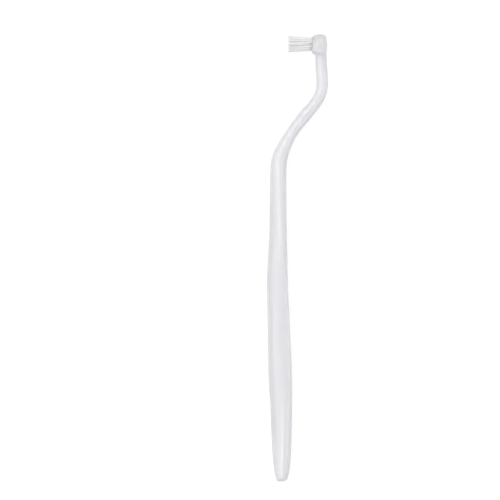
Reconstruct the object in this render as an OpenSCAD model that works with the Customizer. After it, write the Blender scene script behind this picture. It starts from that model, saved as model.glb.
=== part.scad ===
// Orthodontic end-tuft toothbrush: one moulded handle with a set-back neck and a
// round head, one round bundle of bristles, and the metal plate that anchors it.
// The brush lies on one of its two side flats. +Y runs from the butt to the head,
// the bristles point along -X, +X is the back (thumb side), and +Z is up.

/* [Handle] */
// Overall length, from the butt of the handle to the top of the head
overall_len = 168; // [150:1:185]
// Greatest depth of the grip, front to back
grip_depth = 9; // [8:0.1:10.5]
// Width of the grip between its two side flats
grip_width = 9.8; // [9:0.1:10.3]
// How far the neck is set back behind the grip
neck_setback = 16; // [10:0.1:18]
// Thickness of the neck
neck_thick = 4.4; // [4:0.1:5.2]

/* [Head] */
// Width of the round head
head_width = 7.3; // [7:0.1:8.5]
// Depth of the head, from its bristle face to its back
head_depth = 5.7; // [5.5:0.1:6.6]
// Diameter of the blind hole that holds the bristles
hole_d = 4.8; // [4:0.1:4.8]
// Depth of that hole
hole_depth = 4; // [3:0.1:4.2]

/* [Bristles] */
// Length of bristle that stands out of the head
tuft_len = 9; // [6:0.1:11]
// Diameter of the bundle across its flat-trimmed tips
tuft_tip_d = 6.2; // [5:0.1:7]

/* [Anchor] */
// Thickness of the metal anchor plate
anchor_t = 0.3; // [0.2:0.05:0.4]
// Height of the plate along the hole
anchor_h = 1.6; // [1.2:0.1:2]
// How far each end of the plate bites into the wall of the hole
anchor_bite = 0.35; // [0.2:0.05:0.45]

/* [Surface steps] */
// Points around each cross-section of the handle
sides = 28; // [20:4:40]
// Cross-sections between one control section and the next
steps = 3; // [2:1:4]

/* [Hidden] */
k_len = overall_len / 168;

// Control sections of the handle, butt to head. Each is
// [distance from the butt, front, back, ridge, half width, front roundness,
// back roundness]. Front, back and ridge are offsets from the centreline, where
// the ridge is the widest place of the section. Roundness is the exponent of the
// outline on that side of the ridge: 2 is an ellipse, and more is squarer.
sec = [
    [0.0,   0.60, 3.20, 1.40, 2.70, 2.2, 2.2],
    [3.0,   1.44, 4.15, 1.60, 3.05, 2.2, 2.2],
    [7.5,   2.08, 4.64, 1.80, 3.50, 2.2, 2.3],
    [13.0,  2.36, 4.96, 2.00, 3.90, 2.2, 2.5],
    [20.0,  2.66, 5.10, 2.30, 4.30, 2.2, 2.7],
    [28.0,  3.04, 5.24, 2.60, 4.66, 2.2, 3.0],
    [36.0,  3.54, 5.26, 2.80, 4.92, 2.2, 3.2],
    [44.0,  3.90, 5.10, 2.75, 5.02, 2.2, 3.4],
    [52.0,  3.95, 4.60, 2.55, 5.06, 2.2, 3.5],
    [60.0,  4.00, 4.26, 2.35, 5.07, 2.2, 3.5],
    [68.0,  4.28, 3.90, 2.15, 5.05, 2.2, 3.4],
    [76.0,  4.34, 3.62, 1.75, 4.97, 2.2, 2.8],
    [84.0,  3.98, 3.50, 0.95, 4.78, 2.1, 2.1],
    [92.0,  3.38, 3.28, 0.85, 4.48, 2.1, 2.1],
    [100.0, 3.26, 3.12, 0.75, 4.12, 2.1, 2.1],
    [108.0, 3.18, 3.10, 0.55, 3.76, 2.0, 2.0],
    [114.5, 3.05, 3.04, 0.30, 3.42, 2.1, 2.1],
    [119.5, 3.02, 3.20, 0.05, 3.14, 2.1, 2.1],
    [123.5, 2.60, 2.96, 0,    2.88, 2.1, 2.1],
    [127.5, 2.26, 2.50, 0,    2.62, 2.1, 2.1],
    [132.0, 2.06, 2.12, 0,    2.42, 2.1, 2.1],
    [137.5, 2.36, 2.52, 0,    2.30, 2.1, 2.1],
    [143.0, 1.90, 2.34, 0,    2.24, 2.1, 2.1],
    [148.5, 2.10, 2.28, 0,    2.20, 2.1, 2.1],
    [153.5, 2.16, 2.28, 0,    2.20, 2.1, 2.1],
    [157.0, 2.12, 2.18, 0,    2.24, 2.1, 2.1],
    [159.2, 2.10, 2.15, 0,    2.42, 2.2, 2.2],
    [160.1, 2.10, 2.15, 0,    2.76, 2.3, 2.3],
    [160.7, 2.70, 2.17, 0,    3.12, 2.6, 2.6],
    [161.3, 3.90, 2.20, 0,    3.42, 2.8, 2.8],
    [162.4, 4.30, 2.24, 0,    3.60, 2.9, 2.9],
    [163.6, 4.30, 2.28, 0,    3.65, 2.9, 2.9],
    [165.2, 4.30, 2.28, 0,    3.65, 2.8, 2.8],
    [166.6, 4.30, 2.28, 0,    3.65, 2.6, 2.6],
    [167.5, 4.30, 2.28, 0,    3.65, 2.5, 2.5],
    [168.0, 4.30, 2.28, 0,    3.65, 2.5, 2.5]
];
neck_row = 18;   // from here on the sections scale with the neck, not the grip
head_row = 27;   // from here on they scale with the head

// Centreline: how far it is set back, as a share of neck_setback, at a control
// every 5 mm from 105 mm on. It is straight before and after them.
line_y0 = 105;
line_dy = 5;
line = [0, 0, 0, -0.01, 0.09, 0.272, 0.485, 0.755, 1, 1.035, 1.005, 1, 1, 1];

// Uniform cubic B-spline weights at a share s of the way from one control to the next
function b0(s) = pow(1 - s, 3) / 6;
function b1(s) = (3 * s * s * s - 6 * s * s + 4) / 6;
function b2(s) = (-3 * s * s * s + 3 * s * s + 3 * s + 1) / 6;
function b3(s) = s * s * s / 6;
function at(v, i) = v[max(0, min(len(v) - 1, i))];
function spline(v, u) = let (i = floor(u), s = u - i)
    at(v, i - 1) * b0(s) + at(v, i) * b1(s) + at(v, i + 1) * b2(s) + at(v, i + 2) * b3(s);

// Centreline as a place and a direction, at a distance y from the butt
function line_x(y) = neck_setback * spline(line, (y / k_len - line_y0) / line_dy);
function line_a(y) = atan2(line_x(y + 0.05) - line_x(y - 0.05), 0.1);

// The sections scaled to this size of handle
function scaled(i) = let (r = sec[i], g = grip_depth / 9, w = grip_width / 9.8,
        n = neck_thick / 4.4, h = head_width / 7.3)
    i < neck_row ? [r[0], r[1] * g, r[2] * g, r[3] * g, r[4] * w, r[5], r[6]] :
    i < head_row ? [r[0], r[1] * n, r[2] * n, 0, r[4] * n, r[5], r[6]] :
    [r[0], r[1] * head_depth / 5.7, r[2] * n, 0, r[4] * h, r[5], r[6]];
rows = [for (i = [0 : len(sec) - 1]) scaled(i)];

// Rounding of the two ends. The first is an arc of radius r on a half size of a,
// at a distance d from the end; the second is the circle of the head itself.
function arc_end(d, r, a) = d >= r ? 1 : 1 - (r / a) * (1 - sqrt(max(0, 1 - pow(1 - d / r, 2))));
head_r = head_width / 2;
head_y = overall_len - head_r;
function disc_end(y) = y <= head_y ? 1 : sqrt(max(0, 1 - pow((y - head_y) / (overall_len - head_y), 2)));

// One cross-section as [y, front, back, ridge, half width, roundness, roundness],
// with both ends rounded off
function section(u) = let (r = spline(rows, u), y = r[0] * k_len, t = overall_len - y)
    [y,
     r[1] * arc_end(y, 1.6, 3.2) * arc_end(t, 3.4, 4.3),
     r[2] * arc_end(y, 1.2, 3.4) * arc_end(t, 1.9, 2.28),
     r[3],
     r[4] * arc_end(y, 1.8, 2.8) * disc_end(y),
     r[5], r[6]];

function power(v, e) = sign(v) * pow(abs(v), e);
function outline(s, side) = let (
        a = 360 * side / sides,
        e = 2 / (cos(a) < 0 ? s[5] : s[6]),
        t = power(cos(a), e),
        w = power(sin(a), e) * s[4],
        d = s[3] + t * (t < 0 ? s[1] + s[3] : s[2] - s[3]),
        y = s[0], q = line_a(y))
    [line_x(y) + d * cos(q), y - d * sin(q), w];

// The spline's ends are pinned by running it one control past each end
u_lo = -1;
u_hi = len(rows);
count = (u_hi - u_lo) * steps;
rings = [for (k = [1 : count - 1]) section(u_lo + k / steps)];
mesh_points = [for (s = rings) for (j = [0 : sides - 1]) outline(s, j)];

// Frame: centred on the outside size in X and Y, standing on the lower side flat
xs = [for (p = mesh_points) p[0]];
mid_x = (min(xs) + max(xs)) / 2;
lift = grip_width / 2;
butt_point = [1.5 * grip_depth / 9, 0, 0];
head_point = [line_x(overall_len) - 0.6, overall_len, 0];

// Where the bristle face is; the hole's axis is level with the middle of the head
face_x = line_x(head_y) + 2.28 * neck_thick / 4.4 - head_depth;

module place() translate([-mid_x, -overall_len / 2, lift]) children();
// Z of a child runs out of the hole, and its X runs across the head
module along_hole() translate([face_x, head_y, 0]) rotate([0, -90, 0]) children();

// Closed skin through the cross-sections
module handle_skin() {
    n = sides;
    m = len(rings);
    polyhedron(
        points = concat(mesh_points, [butt_point, head_point]),
        faces = concat(
            [for (i = [0 : m - 2]) for (j = [0 : n - 1])
                [(i + 1) * n + j, i * n + j, (i + 1) * n + (j + 1) % n]],
            [for (i = [0 : m - 2]) for (j = [0 : n - 1])
                [(i + 1) * n + (j + 1) % n, i * n + j, i * n + (j + 1) % n]],
            [for (j = [0 : n - 1]) [(j + 1) % n, j, m * n]],
            [for (j = [0 : n - 1]) [(m - 1) * n + j, (m - 1) * n + (j + 1) % n, m * n + 1]]),
        convexity = 6);
}

// Thin in Y, so that it splits the bundle into an upper and a lower half. It sits
// just inside the mouth of the hole, and leaves room below for the folded filaments.
module anchor_shape() {
    l = hole_d + 2 * anchor_bite;
    along_hole() translate([-l / 2, -anchor_t / 2, -0.4 - anchor_h]) cube([l, anchor_t, anchor_h]);
}

// One moulding: grip, neck and head, flat on its two sides and across the bristle face
module handle() {
    color([0.90, 0.90, 0.92]) place() difference() {
        intersection() {
            handle_skin();
            translate([-40, -1, -grip_width / 2]) cube([100, overall_len + 2, grip_width]);
        }
        translate([face_x - 10, head_y - 12, -10]) cube([10, 24, 20]);
        along_hole() translate([0, 0, -hole_depth]) cylinder(h = hole_depth + 1, d = hole_d, $fn = 48);
        anchor_shape();
    }
}

// The bundle as one closed form: packed in the hole, swelling as soon as it is out
// of the mouth, then spreading evenly to the trimmed tips
module bristle_tuft() {
    r0 = hole_d / 2 - 0.02;
    r1 = tuft_tip_d / 2;
    color([0.96, 0.96, 0.97]) place() difference() {
        along_hole() rotate_extrude($fn = 48) polygon([
            [0, -hole_depth + 0.02], [r0 - 0.3, -hole_depth + 0.02], [r0, -hole_depth + 0.32],
            [r0, 0.04], [r0 + (r1 - r0) * 0.25, 0.14], [r0 + (r1 - r0) * 0.35, 0.4],
            [r1, tuft_len - 0.25], [r1 - 0.15, tuft_len], [0, tuft_len]]);
        anchor_shape();
    }
}

// Flat plate that the filaments are folded round and driven in with
module anchor_plate() {
    color([0.78, 0.76, 0.70]) place() anchor_shape();
}

handle();
bristle_tuft();
anchor_plate();
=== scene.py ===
"""Looks of an end-tuft orthodontic toothbrush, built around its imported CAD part.

Millimetres are used while shapes are worked out, and metres in Blender.
+Y runs from the butt to the head, the bristles point along -X, +Z is up.
"""
import math

import bpy
import numpy as np
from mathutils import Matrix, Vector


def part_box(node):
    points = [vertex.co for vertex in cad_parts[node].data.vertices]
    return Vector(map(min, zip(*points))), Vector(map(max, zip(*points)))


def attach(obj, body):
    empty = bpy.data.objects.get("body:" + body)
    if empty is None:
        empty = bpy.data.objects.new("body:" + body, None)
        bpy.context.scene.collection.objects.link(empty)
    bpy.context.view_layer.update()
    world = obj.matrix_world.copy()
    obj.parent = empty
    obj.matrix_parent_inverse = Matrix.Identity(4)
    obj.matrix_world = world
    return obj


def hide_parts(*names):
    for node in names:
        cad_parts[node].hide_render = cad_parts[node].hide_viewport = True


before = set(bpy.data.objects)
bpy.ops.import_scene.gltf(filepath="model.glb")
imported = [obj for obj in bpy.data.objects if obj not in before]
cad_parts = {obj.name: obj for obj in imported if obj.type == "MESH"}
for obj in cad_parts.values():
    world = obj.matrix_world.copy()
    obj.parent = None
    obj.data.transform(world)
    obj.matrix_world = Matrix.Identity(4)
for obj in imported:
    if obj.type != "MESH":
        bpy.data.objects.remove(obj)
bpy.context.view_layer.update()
MM = 0.001
rng = np.random.default_rng(20261)

# ---------------------------------------------------------------- section law of the handle
# [distance from the butt, front, back, ridge, half width, front roundness, back roundness]
SEC = np.array([
    [0.0,   0.60, 3.20, 1.40, 2.70, 2.2, 2.2],
    [3.0,   1.44, 4.15, 1.60, 3.05, 2.2, 2.2],
    [7.5,   2.08, 4.64, 1.80, 3.50, 2.2, 2.3],
    [13.0,  2.36, 4.96, 2.00, 3.90, 2.2, 2.5],
    [20.0,  2.66, 5.10, 2.30, 4.30, 2.2, 2.7],
    [28.0,  3.04, 5.24, 2.60, 4.66, 2.2, 3.0],
    [36.0,  3.54, 5.26, 2.80, 4.92, 2.2, 3.2],
    [44.0,  3.90, 5.10, 2.75, 5.02, 2.2, 3.4],
    [52.0,  3.95, 4.60, 2.55, 5.06, 2.2, 3.5],
    [60.0,  4.00, 4.26, 2.35, 5.07, 2.2, 3.5],
    [68.0,  4.28, 3.90, 2.15, 5.05, 2.2, 3.4],
    [76.0,  4.34, 3.62, 1.75, 4.97, 2.2, 2.8],
    [84.0,  3.98, 3.50, 0.95, 4.78, 2.1, 2.1],
    [92.0,  3.38, 3.28, 0.85, 4.48, 2.1, 2.1],
    [100.0, 3.26, 3.12, 0.75, 4.12, 2.1, 2.1],
    [108.0, 3.18, 3.10, 0.55, 3.76, 2.0, 2.0],
    [114.5, 3.05, 3.04, 0.30, 3.42, 2.1, 2.1],
    [119.5, 3.02, 3.20, 0.05, 3.14, 2.1, 2.1],
    [123.5, 2.60, 2.96, 0.00, 2.88, 2.1, 2.1],
    [127.5, 2.26, 2.50, 0.00, 2.62, 2.1, 2.1],
    [132.0, 2.06, 2.12, 0.00, 2.42, 2.1, 2.1],
    [137.5, 2.36, 2.52, 0.00, 2.30, 2.1, 2.1],
    [143.0, 1.90, 2.34, 0.00, 2.24, 2.1, 2.1],
    [148.5, 2.10, 2.28, 0.00, 2.20, 2.1, 2.1],
    [153.5, 2.16, 2.28, 0.00, 2.20, 2.1, 2.1],
    [157.0, 2.12, 2.18, 0.00, 2.24, 2.1, 2.1],
    [159.2, 2.10, 2.15, 0.00, 2.42, 2.2, 2.2],
    [160.1, 2.10, 2.15, 0.00, 2.76, 2.3, 2.3],
    [160.7, 2.70, 2.17, 0.00, 3.12, 2.6, 2.6],
    [161.3, 3.90, 2.20, 0.00, 3.42, 2.8, 2.8],
    [162.4, 4.30, 2.24, 0.00, 3.60, 2.9, 2.9],
    [163.6, 4.30, 2.28, 0.00, 3.65, 2.9, 2.9],
    [165.2, 4.30, 2.28, 0.00, 3.65, 2.8, 2.8],
    [166.6, 4.30, 2.28, 0.00, 3.65, 2.6, 2.6],
    [167.5, 4.30, 2.28, 0.00, 3.65, 2.5, 2.5],
    [168.0, 4.30, 2.28, 0.00, 3.65, 2.5, 2.5],
])
LINE = np.array([0, 0, 0, -0.01, 0.09, 0.272, 0.485, 0.755, 1, 1.035, 1.005, 1, 1, 1])
LENGTH, SETBACK, HALF = 168.0, 16.0, 4.9
HEAD_R = 3.65
HEAD_Y = LENGTH - HEAD_R
HEAD_DEPTH, HOLE_R, HOLE_DEEP = 5.7, 2.4, 4.0
TUFT_LEN, TIP_R = 9.0, 3.1
PLATE_T, PLATE_H, PLATE_L, PLATE_TOP = 0.3, 1.6, 5.5, -0.4


def spline(v, u):
    v = np.asarray(v, float)
    u = np.asarray(u, float)
    i = np.floor(u).astype(int)
    s = u - i
    n = len(v) - 1
    w = [(1 - s) ** 3 / 6, (3 * s**3 - 6 * s**2 + 4) / 6, (-3 * s**3 + 3 * s**2 + 3 * s + 1) / 6, s**3 / 6]
    out = 0
    for k in range(4):
        row = v[np.clip(i - 1 + k, 0, n)]
        out = out + (w[k][:, None] * row if row.ndim == 2 else w[k] * row)
    return out


TABLE = spline(SEC, np.linspace(-1, len(SEC), 12001))


def line_x(y):
    return SETBACK * spline(LINE, (np.atleast_1d(y) - 105.0) / 5.0)


def line_a(y):
    return np.arctan2(line_x(y + 0.05) - line_x(y - 0.05), 0.1)


def arc_end(d, r, a):
    return np.where(d >= r, 1.0, 1 - (r / a) * (1 - np.sqrt(np.clip(1 - (1 - d / r) ** 2, 0, 1))))


def section(y):
    """Front, back, ridge, half width and the two exponents at y, with both ends rounded off."""
    f, b, r, w, nf, nb = (np.interp(y, TABLE[:, 0], TABLE[:, c]) for c in range(1, 7))
    t = LENGTH - y
    f = f * arc_end(y, 1.6, 3.2) * arc_end(t, 3.4, 4.3)
    b = b * arc_end(y, 1.2, 3.4) * arc_end(t, 1.9, 2.28)
    disc = np.where(y <= HEAD_Y, 1.0, np.sqrt(np.clip(1 - ((y - HEAD_Y) / (LENGTH - HEAD_Y)) ** 2, 0, 1)))
    return f, b, r, w * arc_end(y, 1.8, 2.8) * disc, nf, nb


FACE_X = float(line_x(HEAD_Y)[0]) + 2.28 - HEAD_DEPTH


def soft_min(a, b, k):
    h = np.clip(0.5 + 0.5 * (b - a) / k, 0, 1)
    return b * (1 - h) + a * h - k * h * (1 - h)


def quarter(y, f, b, r, w, n, side, near, count):
    """Points of one quarter of a cross-section, from the ridge (included) to the end
    of the depth (left out), evenly spaced but for the first few."""
    a = np.linspace(0, math.pi / 2, 500) ** 1.0
    c, s = np.sin(a) ** (2 / n), np.cos(a) ** (2 / n)
    d = r + c * (b - r) if side > 0 else r - c * (f + r)
    h = s * w
    h = soft_min(h, HALF, 0.20)
    seg = np.hypot(np.diff(d), np.diff(h))
    run = np.concatenate([[0], np.cumsum(seg)])
    total = run[-1]
    fixed = np.array(near) * min(1.0, total / 2.0)
    want = np.concatenate([fixed, np.linspace(fixed[-1], total, count + 1)[1:-1]])
    return np.interp(want, run, d), np.interp(want, run, h), want, total


NEAR = [0.0, 0.05, 0.10, 0.17, 0.28]
N_FRONT, N_BACK = 34, 22


def ring(y):
    """One closed cross-section as depth and width, counter-clockwise seen from the butt."""
    f, b, r, w, nf, nb = (float(v) for v in section(y))
    w = max(w, 1e-4)
    df, hf, sf, tf = quarter(y, f, b, r, w, nf, -1, NEAR, N_FRONT)
    db, hb, sb, tb = quarter(y, f, b, r, w, nb, +1, NEAR, N_BACK)
    # a fine raised line where the two halves of the mould met, lost on the flats and at the ends
    fade = min(1.0, max(0.0, (HALF - 0.06 - hf[0]) / 0.1)) * min(1.0, y / 3.0) * min(1.0, (LENGTH - y) / 1.5)
    hf = hf + 0.03 * fade * np.exp(-(sf / 0.085) ** 2)
    hb = hb + 0.03 * fade * np.exp(-(sb / 0.085) ** 2)
    hf, hb = np.minimum(hf, HALF), np.minimum(hb, HALF)
    # back end -> upper ridge -> front end -> lower ridge -> back end
    up_d = np.concatenate([[b], db[::-1], df[1:], [-f]])
    up_h = np.concatenate([[0], hb[::-1], hf[1:], [0]])
    lo_d, lo_h = up_d[1:-1][::-1], -up_h[1:-1][::-1]
    return np.concatenate([up_d, lo_d]), np.concatenate([up_h, lo_h])


def handle_points():
    ys = np.concatenate([
        1.8 * (1 - np.cos(np.radians(np.linspace(4, 90, 15)))),
        np.arange(2.2, 118.0, 0.55),
        np.arange(118.0, 158.6, 0.42),
        np.arange(158.7, HEAD_Y, 0.13),
        HEAD_Y + (LENGTH - HEAD_Y) * np.sin(np.radians(np.linspace(0.3, 89.2, 34))),
    ])
    rows = []
    for y in ys:
        d, h = ring(y)
        x0, q = float(line_x(y)[0]), float(line_a(y)[0])
        x = x0 + d * math.cos(q)
        yy = y - d * math.sin(q)
        if y > 158.5:  # the flat bristle face, with a small round at its rim
            x = -soft_min(-x, np.full_like(x, -FACE_X), 0.60)
        rows.append(np.stack([x, yy, h], 1))
    return np.array(rows)


def mesh_object(name, verts, faces, smooth=True):
    mesh = bpy.data.meshes.new(name)
    mesh.from_pydata([tuple(v) for v in verts], [], [tuple(int(i) for i in f) for f in faces])
    mesh.validate()
    mesh.update()
    o = bpy.data.objects.new(name, mesh)
    bpy.context.scene.collection.objects.link(o)
    if smooth:
        mesh.polygons.foreach_set("use_smooth", [True] * len(mesh.polygons))
    return o


def grid_faces(m, n):
    i, j = np.meshgrid(np.arange(m - 1), np.arange(n), indexing="ij")
    k = (j + 1) % n
    return np.stack([i * n + j, i * n + k, (i + 1) * n + k, (i + 1) * n + j], -1).reshape(-1, 4)


pts = handle_points()
m, n = pts.shape[:2]
flat = pts.reshape(-1, 3)
low, high = (np.array(v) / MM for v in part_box("handle"))
mid_x = (flat[:, 0].min() + flat[:, 0].max()) / 2
centre = (low[0] + high[0]) / 2


def to_frame(p):
    """From handle coordinates in mm (x from the grip's centreline, y from the butt, z from
    the middle) to the row frame in metres."""
    p = np.asarray(p, float)
    return np.stack([p[..., 0] - mid_x + centre, p[..., 1] - LENGTH / 2, p[..., 2] + HALF], -1) * MM


# keep the skin a hair inside the CAD solid's own box
inset = np.array([
    min(1.0, (high[0] - low[0] - 0.006) / (flat[:, 0].max() - flat[:, 0].min())),
    1.0 - 0.006 / LENGTH, 1.0 - 0.004 / (2 * HALF)])
skin = flat.copy()
skin[:, 0] = (skin[:, 0] - mid_x) * inset[0] + mid_x
skin[:, 1] = (skin[:, 1] - LENGTH / 2) * inset[1] + LENGTH / 2
skin[:, 2] = skin[:, 2] * inset[2]
butt = pts[0].mean(0)
head = pts[-1].mean(0)
butt[1], head[1] = 0.004, LENGTH - 0.004
verts = np.concatenate([skin, [butt, head]])
faces = [tuple(f) for f in grid_faces(m, n)]
faces += [((j + 1) % n, j, m * n) for j in range(n)]
faces += [((m - 1) * n + j, (m - 1) * n + (j + 1) % n, m * n + 1) for j in range(n)]
handle = mesh_object("handle_skin", to_frame(verts), faces)


def turned(name, profile, origin, sides, close=True):
    """A solid of revolution about the hole's axis: profile is [(out, radius)], origin the
    face's centre, and out runs along -X."""
    vs, fs = [], []
    for out, r in profile:
        for j in range(sides):
            a = 2 * math.pi * j / sides
            vs.append((origin[0] - out, origin[1] + r * math.cos(a), origin[2] + r * math.sin(a)))
    k = len(profile)
    for i in range(k - 1):
        for j in range(sides):
            jj = (j + 1) % sides
            fs.append((i * sides + j, i * sides + jj, (i + 1) * sides + jj, (i + 1) * sides + j))
    if close:
        fs.append(tuple(range(sides - 1, -1, -1)))
        fs.append(tuple((k - 1) * sides + j for j in range(sides)))
    return mesh_object(name, to_frame(np.array(vs)), fs)


mouth = (FACE_X, HEAD_Y, 0.0)
# the mouth of the hole, eased by the filaments: (out, how much wider than the hole)
MOUTH = [(-0.35, 0.0), (-0.20, 0.05), (-0.10, 0.12), (-0.03, 0.19), (0.02, 0.25), (0.10, 0.34), (1.0, 0.36)]
cutter = turned("hole_cutter", [
    (-HOLE_DEEP, HOLE_R - 0.25), (-HOLE_DEEP + 0.08, HOLE_R - 0.08), (-HOLE_DEEP + 0.25, HOLE_R),
    *((out, HOLE_R + r) for out, r in MOUTH)],
    mouth, 96)


def outward(o):
    """Faces turned so that the closed mesh's volume is positive."""
    import bmesh
    bm = bmesh.new()
    bm.from_mesh(o.data)
    bmesh.ops.recalc_face_normals(bm, faces=bm.faces)
    if bm.calc_volume(signed=True) < 0:
        bmesh.ops.reverse_faces(bm, faces=bm.faces)
    bm.to_mesh(o.data)
    bm.free()


outward(handle)
outward(cutter)


def applied(o):
    dg = bpy.context.evaluated_depsgraph_get()
    mesh = bpy.data.meshes.new_from_object(o.evaluated_get(dg))
    o.modifiers.clear()
    old = o.data
    o.data = mesh
    bpy.data.meshes.remove(old)


cut = handle.modifiers.new("hole", "BOOLEAN")
cut.operation, cut.object, cut.solver = "DIFFERENCE", cutter, "EXACT"
applied(handle)
bpy.data.objects.remove(cutter)
handle.data.polygons.foreach_set("use_smooth", [True] * len(handle.data.polygons))
handle.data.set_sharp_from_angle(angle=math.radians(38))

# ---------------------------------------------------------------- the bundle, filament by filament
FIL_R = 0.094


def tube(path, radius, sides, ref):
    """Rings along a path; radius is one number per point."""
    path = np.asarray(path, float)
    t = np.gradient(path, axis=0)
    t /= np.linalg.norm(t, axis=1)[:, None]
    a = ref - (t @ ref)[:, None] * t
    a /= np.linalg.norm(a, axis=1)[:, None]
    b = np.cross(t, a)
    ang = 2 * math.pi * np.arange(sides) / sides
    return (path[:, None, :] + radius[:, None, None] * (np.cos(ang)[None, :, None] * a[:, None, :] + np.sin(ang)[None, :, None] * b[:, None, :]))


def bundle_radius(out):
    """Outer radius of the bundle at a distance out of the mouth."""
    return np.interp(out, [-HOLE_DEEP, -0.5, -0.35, -0.2, -0.08, 0.05, 0.2, 0.5, 1.2, 4.0, TUFT_LEN],
                     [2.33, 2.35, 2.37, 2.43, 2.49, 2.54, 2.58, 2.62, 2.67, 2.81, 3.15])


def legs():
    """Places of the filaments in the upper half of the hole, packed as they would be."""
    s = 0.2035
    found = []
    rows = int(2 * HOLE_R / (s * 0.866)) + 2
    for i in range(rows):
        y = PLATE_T / 2 + FIL_R + 0.01 + i * s * 0.866
        for j in range(-16, 17):
            z = (j + 0.5 * (i % 2)) * s
            if math.hypot(y, z) <= HOLE_R - FIL_R - 0.012:
                found.append((y, z))
    return np.array(found)


def filament(y0, z0):
    """One filament, folded under the plate, as a path of (out, y, z) from tip to tip."""
    start = PLATE_T / 2 + FIL_R + 0.01
    ymax = math.sqrt(max((HOLE_R - FIL_R) ** 2 - z0**2, start**2 + 1e-6))
    share = np.clip((y0 - start) / max(ymax - start, 1e-6), 0, 1)
    y_full = 0.06 + share * (ymax - 0.06)          # where it goes once past the plate
    legs_out = []
    for _ in range(2):
        bow_y, bow_z = rng.normal(0, 0.035, 2)
        end_y, end_z = rng.normal(0, 0.055, 2)
        stray = rng.random() < 0.05
        if stray:
            end_y, end_z = end_y + rng.normal(0, 0.16), end_z + rng.normal(0, 0.16)
        tip = TUFT_LEN - 0.02 - abs(rng.normal(0, 0.03))
        out = np.array([-1.9, -1.2, -0.4, -0.2, -0.08, 0.05, 0.2, 0.5, 1.2, 3.0, 4.4, 5.8, 7.0, 7.9, tip - 0.13, tip - 0.045, tip])
        k = np.sqrt(np.clip((out - PLATE_TOP) / 3.4, 0, 1))   # closing quickly, then slowly
        yy = y0 + (y_full - y0) * k
        grow = bundle_radius(out) / 2.35
        u = np.clip(out / TUFT_LEN, 0, 1)
        yy, zz = yy * grow, z0 * grow
        crowd = np.maximum(np.hypot(yy, zz) / bundle_radius(out), 0.05) ** (-0.26 * np.clip(out / 2.5, 0, 1))   # crowded towards the rim
        yy = yy * crowd + bow_y * np.sin(math.pi * u) + end_y * u**2
        zz = zz * crowd + bow_z * np.sin(math.pi * u) + end_z * u**2
        r = np.hypot(yy, zz)
        wall = HOLE_R + np.interp(out, *zip(*MOUTH))
        lim = np.where(out > 0.06, bundle_radius(out) + (0.07 if stray else 0.02), wall - FIL_R - 0.006)
        yy, zz = yy * np.minimum(1, lim / r), zz * np.minimum(1, lim / r)
        legs_out.append(np.stack([out, yy, zz], 1))
    up, down = legs_out
    down[:, 1] *= -1
    # the fold, a half turn under the plate's lower edge, flattened to fit the hole
    base = PLATE_TOP - PLATE_H
    room = HOLE_DEEP + base - 0.12
    deep = 0.13 + (y0 - start) / (HOLE_R - start) * (room - 0.13 - FIL_R)
    ang = np.radians([20, 48, 76, 104, 132, 160])
    fold = np.stack([base - deep * np.sin(ang), y0 * np.cos(ang), np.full(6, z0)], 1)
    fold[:, 1] *= 1 - 0.12 * np.sin(ang)
    path = np.concatenate([up[::-1], fold, down])
    radius = np.full(len(path), FIL_R)
    for k, f in ((0, 0.50), (1, 0.86), (2, 0.99)):
        radius[k] *= f
        radius[-1 - k] *= f
    return path, radius


def bundle():
    sides = 7
    vs, fs, tone = [], [], []
    for y0, z0 in legs():
        path, radius = filament(y0, z0)
        p = np.stack([FACE_X - path[:, 0], HEAD_Y + path[:, 1], path[:, 2]], 1)
        rings = tube(p, radius, sides, np.array([0.0, 0.0, 1.0]))
        base = len(vs)
        k = len(p)
        vs += [tuple(v) for v in rings.reshape(-1, 3)]
        fs += [tuple(int(i) + base for i in f) for f in grid_faces(k, sides)]
        fs.append(tuple(base + j for j in range(sides - 1, -1, -1)))
        fs.append(tuple(base + (k - 1) * sides + j for j in range(sides)))
        tone += [float(rng.random())] * (k * sides)
    o = mesh_object("bristle_bundle", to_frame(np.array(vs)), fs)
    a = o.data.attributes.new("strand", "FLOAT", "POINT")
    a.data.foreach_set("value", np.array(tone, np.float32))
    return o


bristles = bundle()
outward(bristles)

# ---------------------------------------------------------------- the anchor plate
def plate():
    """Sheared plate: rounded by a fine bevel, with its two lower corners eased."""
    import bmesh
    bm = bmesh.new()
    l, t, h = PLATE_L / 2 - 0.01, PLATE_T / 2 - 0.004, PLATE_H
    top = PLATE_TOP - 0.004
    outline = [(-l, top), (l, top), (l, top - h + 0.45), (l - 0.30, top - h + 0.01), (-l + 0.30, top - h + 0.01), (-l, top - h + 0.45)]
    rings = []
    for s in (-t, t):
        rings.append([bm.verts.new(tuple(to_frame([FACE_X - o, HEAD_Y + s, z]))) for z, o in outline])
    bm.faces.new(rings[0])
    bm.faces.new(rings[1][::-1])
    for i in range(len(outline)):
        j = (i + 1) % len(outline)
        bm.faces.new([rings[0][j], rings[0][i], rings[1][i], rings[1][j]])
    bmesh.ops.recalc_face_normals(bm, faces=bm.faces)
    bmesh.ops.bevel(bm, geom=list(bm.edges), offset=0.04 * MM, segments=3, profile=0.5, affect="EDGES")
    mesh = bpy.data.meshes.new("anchor")
    bm.to_mesh(mesh)
    bm.free()
    o = bpy.data.objects.new("anchor", mesh)
    bpy.context.scene.collection.objects.link(o)
    mesh.polygons.foreach_set("use_smooth", [True] * len(mesh.polygons))
    mesh.set_sharp_from_angle(angle=math.radians(35))
    return o


anchor = plate()

# ---------------------------------------------------------------- materials
def new_material(name):
    mat = bpy.data.materials.new(name)
    mat.use_nodes = True
    nt = mat.node_tree
    nt.nodes.clear()
    out = nt.nodes.new("ShaderNodeOutputMaterial")
    bsdf = nt.nodes.new("ShaderNodeBsdfPrincipled")
    nt.links.new(bsdf.outputs["BSDF"], out.inputs["Surface"])
    return mat, nt, bsdf


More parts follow.
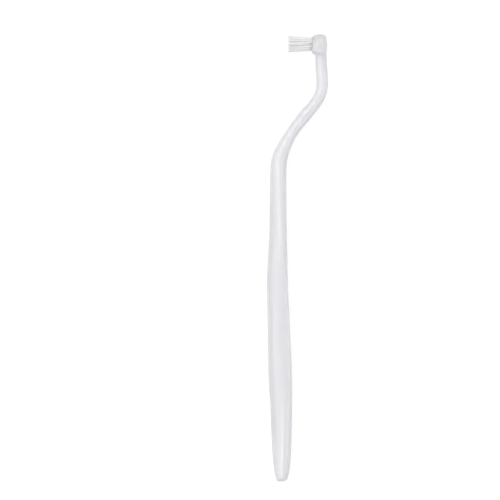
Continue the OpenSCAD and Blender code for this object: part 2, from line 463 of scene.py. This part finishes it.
def noise(nt, coords, scale, detail=3.0, rough=0.5):
    t = nt.nodes.new("ShaderNodeTexNoise")
    t.inputs["Scale"].default_value = scale
    t.inputs["Detail"].default_value = detail
    t.inputs["Roughness"].default_value = rough
    nt.links.new(coords, t.inputs["Vector"])
    return t


def mapped(nt, stretch):
    """Object coordinates in metres, stretched."""
    c = nt.nodes.new("ShaderNodeTexCoord")
    mp = nt.nodes.new("ShaderNodeMapping")
    mp.inputs["Scale"].default_value = stretch
    nt.links.new(c.outputs["Object"], mp.inputs["Vector"])
    return mp.outputs["Vector"]


def ramp(nt, fac, low_pos, low, high_pos, high):
    r = nt.nodes.new("ShaderNodeValToRGB")
    r.color_ramp.elements[0].position = low_pos
    r.color_ramp.elements[0].color = (*low, 1)
    r.color_ramp.elements[1].position = high_pos
    r.color_ramp.elements[1].color = (*high, 1)
    nt.links.new(fac, r.inputs["Fac"])
    return r.outputs["Color"]


def spread(nt, value, low, high):
    r = nt.nodes.new("ShaderNodeMapRange")
    r.inputs["To Min"].default_value = low
    r.inputs["To Max"].default_value = high
    nt.links.new(value, r.inputs["Value"])
    return r.outputs["Result"]


def bump(nt, height, strength, distance):
    b = nt.nodes.new("ShaderNodeBump")
    b.inputs["Strength"].default_value = strength
    b.inputs["Distance"].default_value = distance
    nt.links.new(height, b.inputs["Height"])
    return b.outputs["Normal"]


def milky_plastic():
    mat, nt, p = new_material("milky_polypropylene")
    flow = noise(nt, mapped(nt, (1.0, 0.16, 1.0)), 320.0, 4.0, 0.55)      # drawn out along the flow
    cloud = noise(nt, mapped(nt, (1.0, 0.45, 1.0)), 85.0, 2.0, 0.5)
    fine = noise(nt, mapped(nt, (1.0, 1.0, 1.0)), 3800.0, 3.0, 0.6)
    nt.links.new(ramp(nt, cloud.outputs["Fac"], 0.3, (0.635, 0.631, 0.650), 0.7, (0.665, 0.661, 0.680)), p.inputs["Base Color"])
    nt.links.new(spread(nt, flow.outputs["Fac"], 0.40, 0.47), p.inputs["Roughness"])
    mix = nt.nodes.new("ShaderNodeMix")
    mix.inputs["Factor"].default_value = 0.25
    nt.links.new(flow.outputs["Fac"], mix.inputs["A"])
    nt.links.new(fine.outputs["Fac"], mix.inputs["B"])
    nt.links.new(bump(nt, mix.outputs["Result"], 0.5, 0.000006), p.inputs["Normal"])
    p.inputs["IOR"].default_value = 1.49
    p.inputs["Transmission Weight"].default_value = 0.35
    p.inputs["Specular IOR Level"].default_value = 0.2
    p.inputs["Coat Weight"].default_value = 0.6
    p.inputs["Coat Roughness"].default_value = 0.05
    p.inputs["Subsurface Weight"].default_value = 0.8
    p.inputs["Subsurface Radius"].default_value = (1.0, 1.0, 1.1)
    p.inputs["Subsurface Scale"].default_value = 0.003
    return mat


def nylon():
    mat, nt, p = new_material("white_nylon")
    a = nt.nodes.new("ShaderNodeAttribute")
    a.attribute_name = "strand"
    along = noise(nt, mapped(nt, (1.0, 1.0, 1.0)), 900.0, 2.0, 0.5)
    mix = nt.nodes.new("ShaderNodeMix")
    mix.inputs["Factor"].default_value = 0.35
    nt.links.new(a.outputs["Fac"], mix.inputs["A"])
    nt.links.new(along.outputs["Fac"], mix.inputs["B"])
    nt.links.new(ramp(nt, mix.outputs["Result"], 0.1, (0.69, 0.69, 0.70), 0.9, (0.78, 0.78, 0.79)), p.inputs["Base Color"])
    nt.links.new(spread(nt, along.outputs["Fac"], 0.28, 0.46), p.inputs["Roughness"])
    fine = noise(nt, mapped(nt, (0.25, 1.0, 1.0)), 9000.0, 2.0, 0.6)
    nt.links.new(bump(nt, fine.outputs["Fac"], 0.25, 0.00001), p.inputs["Normal"])
    p.inputs["IOR"].default_value = 1.53
    p.inputs["Subsurface Weight"].default_value = 0.5
    p.inputs["Subsurface Radius"].default_value = (1.0, 1.0, 1.0)
    p.inputs["Subsurface Scale"].default_value = 0.0006
    return mat


def nickel_silver():
    mat, nt, p = new_material("nickel_silver")
    drawn = noise(nt, mapped(nt, (1.0, 1.0, 0.04)), 16000.0, 3.0, 0.6)
    nt.links.new(ramp(nt, drawn.outputs["Fac"], 0.3, (0.66, 0.63, 0.56), 0.7, (0.78, 0.75, 0.69)), p.inputs["Base Color"])
    nt.links.new(spread(nt, drawn.outputs["Fac"], 0.25, 0.42), p.inputs["Roughness"])
    nt.links.new(bump(nt, drawn.outputs["Fac"], 0.3, 0.000008), p.inputs["Normal"])
    p.inputs["Metallic"].default_value = 1.0
    return mat


def floor_paper():
    mat, nt, p = new_material("pale_floor")
    grain = noise(nt, mapped(nt, (1.0, 1.0, 1.0)), 60.0, 3.0, 0.5)
    nt.links.new(ramp(nt, grain.outputs["Fac"], 0.3, (0.115, 0.115, 0.115), 0.7, (0.125, 0.125, 0.125)), p.inputs["Base Color"])
    p.inputs["Roughness"].default_value = 0.7
    p.inputs["Specular IOR Level"].default_value = 0.2
    p.inputs["Emission Color"].default_value = (1, 1, 1, 1)       # a light table
    p.inputs["Emission Strength"].default_value = 0.87
    return mat


for piece, mat, node, slot in (
        (handle, milky_plastic(), "handle", "handle_plastic"),
        (bristles, nylon(), "bristle_tuft", "bristle_nylon"),
        (anchor, nickel_silver(), "anchor_plate", "anchor_metal")):
    piece.data.materials.clear()
    piece.data.materials.append(mat)
    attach(piece, "root")
    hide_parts(node)

# ---------------------------------------------------------------- stage, lights and camera
floor = mesh_object("floor", [(-3, -3, 0), (3, -3, 0), (3, 3, 0), (-3, 3, 0)], [(0, 1, 2, 3)], smooth=False)
floor.data.materials.append(floor_paper())

world = bpy.data.worlds.new("studio")
bpy.context.scene.world = world
world.use_nodes = True
wt = world.node_tree
wt.nodes.clear()
w_out = wt.nodes.new("ShaderNodeOutputWorld")
w_bg = wt.nodes.new("ShaderNodeBackground")
w_co = wt.nodes.new("ShaderNodeTexCoord")
w_xyz = wt.nodes.new("ShaderNodeSeparateXYZ")
wt.links.new(w_co.outputs["Generated"], w_xyz.inputs["Vector"])
w_ramp = wt.nodes.new("ShaderNodeValToRGB")
w_ramp.color_ramp.elements[0].position = 0.07      # a pale backdrop just above the floor's far edge
w_ramp.color_ramp.elements[0].color = (0.96, 0.96, 0.96, 1)
w_ramp.color_ramp.elements[1].position = 0.75
w_ramp.color_ramp.elements[1].color = (0.60, 0.60, 0.60, 1)
dim = w_ramp.color_ramp.elements.new(0.10)
dim.color = (0.12, 0.12, 0.125, 1)
wt.links.new(w_xyz.outputs["Z"], w_ramp.inputs["Fac"])
wt.links.new(w_ramp.outputs["Color"], w_bg.inputs["Color"])
w_bg.inputs["Strength"].default_value = 1.0
wt.links.new(w_bg.outputs["Background"], w_out.inputs["Surface"])


def soft_box(name, place, aim, size, power):
    d = bpy.data.lights.new(name, "AREA")
    d.shape = "RECTANGLE"
    d.size, d.size_y = size
    d.energy = power
    o = bpy.data.objects.new(name, d)
    bpy.context.scene.collection.objects.link(o)
    from mathutils import Vector
    o.location = place
    o.rotation_euler = (Vector(aim) - Vector(place)).to_track_quat("-Z", "Y").to_euler()
    return o


# size is (along the brush, across it)
soft_box("left_panel", (-1.15, 0.0, 0.95), (0, 0, 0), (2.4, 1.1), 14.8)
soft_box("right_panel", (1.15, 0.0, 0.95), (0, 0, 0), (2.4, 1.1), 13.2)
soft_box("low_left", (-1.2, 0.0, 0.28), (0, 0, 0), (1.6, 0.08), 0.3)
soft_box("low_right", (1.2, 0.0, 0.28), (0, 0, 0), (1.6, 0.08), 0.6)
soft_box("ridge_strip", (-0.25, 0.27, 1.13), (0, 0.02, 0), (0.6, 0.36), 3.4)
soft_box("butt_strip", (-0.25, -0.37, 1.11), (0, -0.03, 0), (0.5, 0.36), 2.8)
soft_box("head_panel", (0.0, 1.2, 0.85), (0, 0, 0), (1.1, 1.0), 5.2)

cam = bpy.data.cameras.new("camera")
cam_o = bpy.data.objects.new("camera", cam)
bpy.context.scene.collection.objects.link(cam_o)
PX = 0.3759 * MM
far = 1.2
cam.sensor_width = 36.0
cam.lens = 36.0 * far / (500 * PX)
cam.clip_start, cam.clip_end = 0.05, 20.0
cam_o.location = ((250 - 297.45) * PX, (257.83 - 250) * PX, far + HALF * MM)
cam_o.rotation_euler = (0, 0, 0)
bpy.context.scene.camera = cam_o
bpy.context.scene.view_settings.view_transform = "Standard"
bpy.context.scene.view_settings.look = "None"
